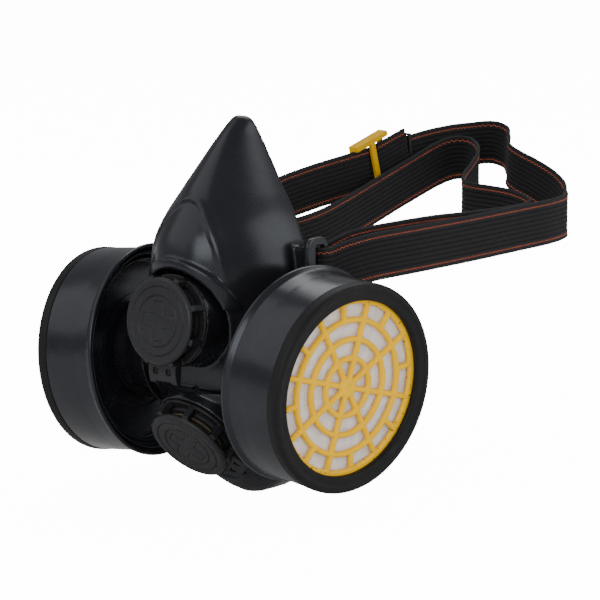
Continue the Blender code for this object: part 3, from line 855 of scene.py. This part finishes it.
def felt_mesh():
    """A felt disc whose face rises a little in each tuft."""
    shape = bmesh.new()
    radius, face, back = 38.2, -5.95, -9.5
    rings, sides = 60, 120
    centre = shape.verts.new((0.0, 0.0, -5.9 * MM))
    rows = []
    for ring in range(1, rings + 1):
        reach = radius * ring / rings
        row = []
        for i in range(sides):
            angle = 2 * pi * (i + 0.5 * (ring % 2)) / sides
            x, y = reach * cos(angle), reach * sin(angle)
            tuft = 0.22 * noise.noise(Vector((x * 0.55, y * 0.55, 3.1)))
            tuft += 0.14 * noise.noise(Vector((x * 1.6, y * 1.6, 9.7)))
            row.append(shape.verts.new(Vector((x, y, face + tuft)) * MM))
        rows.append(row)
    rows.append([shape.verts.new(Vector((v.co.x, v.co.y, back * MM))) for v in rows[-1]])
    for i in range(sides):
        shape.faces.new((centre, rows[0][i], rows[0][(i + 1) % sides]))
    for first, second in zip(rows[:-1], rows[1:]):
        for i in range(sides):
            j = (i + 1) % sides
            shape.faces.new((first[i], second[i], second[j], first[j]))
    shape.faces.new(rows[-1])
    return finish_mesh("felt", shape)


def make_canisters(looks):
    cup, bezel = canister_meshes()
    grille = grille_mesh()
    pad = felt_mesh()
    for name, side in (("right", 1), ("left", -1)):
        place = canister_frame(side)
        show(name + "_cup_shell", cup.copy(), looks["canister"], name + "_canister",
             [name + "_canister_cup"], place, 40)
        show(name + "_bezel", bezel.copy(), looks["bezel"], name + "_bezel",
             [name + "_bezel_ring"], place, 40)
        show(name + "_grille_bars", grille.copy(), looks["yellow"], name + "_bezel",
             [name + "_grille"], place)
        felt_pad = show(name + "_felt", pad.copy(), looks["felt"], name + "_canister",
                        [name + "_filter_pad"], place, 60)


# ---------------------------------------------------------------- harness

def strap_route():
    """The band's middle line, a closed loop that doubles back through both lugs."""
    x, y, z = LUG_SLOT
    outer, inner = x + 2.3, x - 2.5
    wrap = [(outer, y + 6.5, z), (outer, y + 2.6, z), (outer - 0.3, y + 0.7, z), (outer - 1.1, y, z),
            (inner + 1.1, y, z), (inner + 0.3, y + 0.7, z), (inner, y + 2.6, z), (inner, y + 6.5, z)]
    right_outer = [(22.0, 187.0, 33.4), (28.5, 178.0, 33.0), (33.5, 160.0, 33.0), (35.5, 135.0, 33.0),
                   (38.0, 97.0, 33.0), (40.0, 61.0, 33.2), (39.8, 33.0, 33.0), (39.0, 17.0, 31.8)]
    right_inner = [(33.5, 14.0, 32.0), (33.8, 26.0, 34.4), (34.4, 45.0, 35.0), (34.9, 75.0, 35.0),
                   (35.4, 98.0, 34.2), (34.8, 125.0, 33.4), (34.0, 140.0, 33.4)]
    fold = [(31.5, 147.0, 34.0), (26.0, 150.0, 35.4), (17.0, 151.5, 36.8), (7.0, 152.0, 37.4),
            (-3.0, 152.6, 37.6), (-10.5, 155.0, 38.2), (-15.5, 162.0, 40.4), (-19.0, 172.0, 44.0),
            (-23.0, 181.0, 47.4), (-29.5, 188.0, 50.6), (-37.0, 190.5, 52.4), (-42.5, 187.0, 52.2)]
    left_inner = [(-45.0, 179.0, 50.0), (-45.6, 166.0, 46.2), (-44.6, 149.0, 42.0), (-41.6, 121.0, 35.6),
                  (-36.5, 90.0, 30.2), (-33.8, 66.0, 28.3), (-33.2, 42.0, 28.8), (-33.3, 20.0, 29.7)]
    left_outer = [(-38.9, 16.0, 30.8), (-41.5, 33.0, 35.0), (-45.0, 52.0, 40.0), (-48.2, 73.0, 44.2),
                  (-50.0, 98.0, 47.2), (-50.0, 118.0, 49.3), (-50.0, 138.0, 51.4), (-50.0, 158.0, 53.5),
                  (-50.0, 178.0, 55.6)]
    top_fold = [(-49.0, 195.0, 56.6), (-45.5, 206.0, 57.0), (-39.0, 212.5, 57.6), (-32.0, 213.0, 56.0),
                (-26.0, 208.0, 53.0), (-20.5, 201.5, 49.8), (-14.0, 199.0, 47.2), (-4.0, 198.5, 43.8),
                (7.0, 197.5, 39.4), (15.5, 194.0, 35.4)]
    left_wrap = [(-across, along, height) for across, along, height in wrap]
    return (right_outer + wrap + right_inner + fold + left_inner
            + left_wrap[::-1] + left_outer + top_fold)


def smooth_loop(points, spacing):
    """A closed Catmull-Rom curve through the points, with steps of about spacing mm."""
    count = len(points)
    curve = []
    for i in range(count):
        p0, p1, p2, p3 = (Vector(points[(i + k) % count]) for k in (-1, 0, 1, 2))
        parts = max(2, ceil((p2 - p1).length / spacing))
        for k in range(parts):
            t = k / parts
            curve.append(0.5 * ((2 * p1) + (p2 - p0) * t + (2 * p0 - 5 * p1 + 4 * p2 - p3) * t * t
                                + (3 * p1 - p0 - 3 * p2 + p3) * t ** 3))
    return curve


def band_axes(line):
    """At each point of a loop: the point, the direction across the webbing and out of its face."""
    count = len(line)
    axes = []
    for i, point in enumerate(line):
        along = (line[(i + 1) % count] - line[i - 1]).normalized()
        up = Vector((0.0, 0.0, 1.0))
        up = (up - up.dot(along) * along).normalized()
        axes.append((point, up, along.cross(up)))
    return axes


def rib_section(width, thickness, ribs, steps=7):
    """The webbing's section as (across, out, rib height 0 to 1): ribs on both faces, rolled edges."""
    face = []
    count = ribs * steps
    for i in range(count + 1):
        share = i / count
        rib = abs(sin(pi * ribs * share)) ** 0.6
        edge = min(share, 1 - share) * width
        half = thickness / 2 * (0.50 + 0.50 * rib)
        if edge < width / ribs:
            half *= 1.2
        if edge < 0.5:
            half *= 0.45 + 0.55 * (edge / 0.5) ** 0.5
            rib = 1.0
        face.append((width * (share - 0.5), half, rib))
    return face + [(a, -b, c) for a, b, c in face[::-1]]


def run_lengths(axes):
    """The distance along the webbing at each of its points."""
    run = [0.0]
    for (first, _, _), (second, _, _) in zip(axes[:-1], axes[1:]):
        run.append(run[-1] + (second - first).length)
    return run


def band_mesh(name, axes, section, closed):
    """A strip of webbing, with the measures that its material reads stored on every point."""
    rows = [[(point + up * a + out * b) * MM for a, b, _ in section] for point, up, out in axes]
    mesh = sweep_mesh(name, rows, closed)
    along = mesh.attributes.new("along", "FLOAT", "POINT")
    along.data.foreach_set("value", [s for s in run_lengths(axes) for _ in section])
    across = mesh.attributes.new("across", "FLOAT", "POINT")
    across.data.foreach_set("value", [a for _ in axes for a, _, _ in section])
    rib = mesh.attributes.new("rib", "FLOAT", "POINT")
    rib.data.foreach_set("value", [c for _ in axes for _, _, c in section])
    return mesh


# A stitch's flat section, in thread radii: across the webbing and out of its face
STITCH_SECTION = ((1.6, 0.0), (0.0, 1.0), (-1.6, 0.0), (0.0, -1.0))


def zigzag_mesh(name, axes, offset, lift, swing=0.42, pitch=2.1, radius=0.105):
    """One row of zigzag stitches along the webbing, offset across it and lifted off its face."""
    run = run_lengths(axes)
    points = []
    position = 0.0
    index = 0
    number = 0
    while position < run[-1]:
        while run[index + 1] < position:
            index += 1
        share = (position - run[index]) / (run[index + 1] - run[index])
        point = axes[index][0].lerp(axes[index + 1][0], share)
        up = axes[index][1].lerp(axes[index + 1][1], share)
        out = axes[index][2].lerp(axes[index + 1][2], share)
        sway = swing if number % 2 else -swing
        points.append((point + up * (offset + sway) + out * lift, up, out))
        position += pitch / 2
        number += 1
    rows = []
    for point, up, out in points:
        rows.append([(point + up * a * radius + out * b * radius) * MM for a, b in STITCH_SECTION])
    return sweep_mesh(name, rows, False)


def tail_stitch(line, offset, lift=0.60, swing=0.42, radius=0.09, count=18):
    """Zigzag stitches on the near face of the webbing's loose end."""
    rows = []
    for i in range(count):
        point = line[0] + (line[-1] - line[0]) * (i + 0.5) / count
        middle = point + Vector((0.0, offset + (swing if i % 2 else -swing), lift))
        rows.append([(middle + Vector((0.0, a * radius, b * radius))) * MM for a, b in STITCH_SECTION])
    return sweep_mesh("tail_stitch", rows, False)


def joined(name, meshes):
    shape = bmesh.new()
    for mesh in meshes:
        shape.from_mesh(mesh)
    out = bpy.data.meshes.new(name)
    shape.to_mesh(out)
    shape.free()
    return out


def make_band(looks):
    axes = band_axes(smooth_loop(strap_route(), 1.1))
    band = band_mesh("webbing_band", axes, rib_section(WEB_WIDTH, WEB_THICKNESS, WEB_RIBS), True)
    show("webbing_band", band, looks["webbing"], "harness", ["strap_band"])
    rows = [zigzag_mesh("stitch", axes, across, face * 0.62)
            for across in (-7.9, 7.9) for face in (-1, 1)]
    show("webbing_stitches", joined("webbing_stitches", rows), looks["thread"], "harness", [])


def make_tail(looks, place):
    line = [Vector((2.6 + 0.8 * i, 0.0, 1.6 + 0.02 * i)) for i in range(26)]
    axes = [(point, Vector((0.0, 1.0, 0.0)), Vector((0.0, 0.0, 1.0))) for point in line]
    tail = band_mesh("webbing_tail", axes, rib_section(19.6, 1.25, WEB_RIBS), False)
    show("webbing_tail", tail, looks["webbing"], "buckle", ["strap_tail"], place)
    rows = [tail_stitch(line, across) for across in (-7.7, 7.7)]
    show("tail_stitches", joined("tail_stitches", rows), looks["thread"], "buckle", [], place)


def make_buckle(looks, place):
    """Two rails across the webbing's edges, two bars behind the webbing and one in front."""
    length, height, rail, depth = 11.0, 13.4, 2.6, 2.6
    bar = height - 1.0
    top_rail = box_mesh("top_rail", (-length, height - rail, -depth), (length, height, depth))
    item = add("top_rail", top_rail, work)
    for name, low, high in (
            ("low_rail", (-length, -height, -depth), (length, rail - height, depth)),
            ("near_bar", (-length, -bar, -depth), (-length + 3, bar, -1.0)),
            ("far_bar", (length - 3, -bar, -depth), (length, bar, -1.0)),
            ("middle_bar", (-1.6, -bar, 1.0), (1.6, bar, depth))):
        combine(item, add(name, box_mesh(name, low, high), work), "UNION")
    mesh = moulded(item, "buckle_frame", 0.25, 6)
    clear_work()
    show("buckle_frame", mesh, looks["buckle"], "buckle", ["tri_glide_buckle"], place)


def make_keeper(looks):
    keeper = add("keeper", box_mesh("keeper", (25.8, -11.2, -1.9), (27.4, 11.2, 1.9)), work)
    combine(keeper, add("opening", box_mesh("opening", (24.0, -10.4, -1.0), (30.0, 10.4, 1.0)), work),
            "DIFFERENCE")
    mesh = moulded(keeper, "keeper_loop", 0.2, 4)
    clear_work()
    show("keeper_loop", mesh, looks["valve"], "buckle", ["strap_keeper"], buckle_frame())


def make_harness(looks):
    make_band(looks)
    shift = Matrix.Translation(Vector(BUCKLE_SHIFT) * MM)
    place = buckle_frame() @ shift @ Matrix.Rotation(BUCKLE_LEAN, 4, "Z")
    make_tail(looks, place)
    make_buckle(looks, place)
    make_keeper(looks)


# ---------------------------------------------------------------- carried-over nodes

def dress_nodes(looks):
    """Gives the inner CAD nodes, which stay as they are, their materials."""
    parts = {"silicone": ["upper_valve_flap", "lower_valve_flap"],
             "valve": ["upper_valve_seat", "lower_valve_seat"], "gasket": [], "carbon": []}
    for side in ("right", "left"):
        parts["silicone"].append(side + "_inhalation_flap")
        parts["valve"] += [side + "_port_adapter", side + "_carbon_screen"]
        parts["gasket"].append(side + "_port_gasket")
        parts["carbon"].append(side + "_carbon_bed")
    for look, names in parts.items():
        for name in names:
            for holder in frame["nodes"][name].material_slots:
                holder.material = looks[look]


# ---------------------------------------------------------------- studio

def make_light(name, place, target, size, power):
    data = bpy.data.lights.new(name, "AREA")
    data.shape = "RECTANGLE"
    data.size, data.size_y = size
    data.energy = power
    item = bpy.data.objects.new(name, data)
    bpy.context.scene.collection.objects.link(item)
    item.location = place
    aim = Vector(target) - Vector(place)
    item.rotation_euler = aim.to_track_quat("-Z", "Y").to_euler()
    return item


# GLOW shows the floor and the sky pale to the camera alone; SKY_LIGHT is what the sky gives the part
GLOW = 14.0
SKY_LIGHT = 0.28


def make_floor():
    low = CAD_BOX[0][2] / MM - 0.5
    mesh = box_mesh("floor", (-9000, -9000, low - 10.0), (9000, 9000, low))
    floor = add("floor", mesh, bpy.context.scene.collection)
    look = Look("pale_floor")
    look.put(Base_Color=look.mix(look.noise(400.0, 2.0), (0.86, 0.86, 0.86), (0.89, 0.89, 0.89)),
             Roughness=0.9, Emission_Color=(1.0, 1.0, 1.0))
    seen = look.node("ShaderNodeLightPath").outputs["Is Camera Ray"]
    look.join(look.maths("MULTIPLY", seen, GLOW), look.shader.inputs["Emission Strength"])
    floor.data.materials.append(look.material)


def make_sky():
    world = bpy.data.worlds.new("studio")
    world.use_nodes = True
    nodes = world.node_tree.nodes
    nodes["Background"].inputs["Color"].default_value = (0.93, 0.96, 1.0, 1.0)
    strength = nodes.new("ShaderNodeMath")
    strength.operation = "MULTIPLY_ADD"
    strength.inputs[1].default_value = GLOW
    strength.inputs[2].default_value = SKY_LIGHT
    links = world.node_tree.links
    links.new(nodes.new("ShaderNodeLightPath").outputs["Is Camera Ray"], strength.inputs[0])
    links.new(strength.outputs[0], nodes["Background"].inputs["Strength"])
    bpy.context.scene.world = world


def make_studio():
    make_floor()
    make_sky()
    make_light("key", (-1.0, -1.2, 1.4), (0.0, 0.0, 0.0), (2.2, 2.2), 14.0)
    make_light("right_box", (1.3, 0.75, 0.55), (0.06, 0.0, 0.0), (1.0, 1.2), 7.5)
    make_light("top", (-0.3, 0.9, 1.3), (0.0, 0.05, 0.0), (1.6, 0.8), 10.0)
    make_light("front", (0.9, -1.8, 0.9), (0.0, 0.0, 0.0), (1.6, 1.2), 22.0)

    # Two more lights reach only the grilles and the felt
    faces = bpy.data.collections.new("lit_faces")
    for side in ("right", "left"):
        faces.objects.link(bpy.data.objects[side + "_grille_bars"])
        faces.objects.link(bpy.data.objects[side + "_felt"])
    for name, x in (("right_fill", 1.5), ("left_fill", -1.5)):
        fill = make_light(name, (x, -0.9, 0.4), (x * 0.05, 0.0, -0.01), (1.0, 1.0), 9.5)
        fill.light_linking.receiver_collection = faces


CAMERA_PLACE = (0.8474, -0.9506, 0.2304)
CAMERA_TARGET = (0.0268, 0.0, 0.0178)
CAMERA_LENS = 189.73


def make_camera():
    data = bpy.data.cameras.new("camera")
    data.sensor_width = 36.0
    data.lens = CAMERA_LENS
    data.clip_end = 50.0
    item = bpy.data.objects.new("camera", data)
    bpy.context.scene.collection.objects.link(item)
    item.location = CAMERA_PLACE
    aim = Vector(CAMERA_TARGET) - Vector(CAMERA_PLACE)
    item.rotation_euler = aim.to_track_quat("-Z", "Y").to_euler()
    bpy.context.scene.camera = item


make_camera()
LOOKS = make_looks()
make_facepiece(LOOKS)
make_covers(LOOKS)
make_canisters(LOOKS)
make_harness(LOOKS)
dress_nodes(LOOKS)
make_studio()
bpy.data.collections.remove(work)
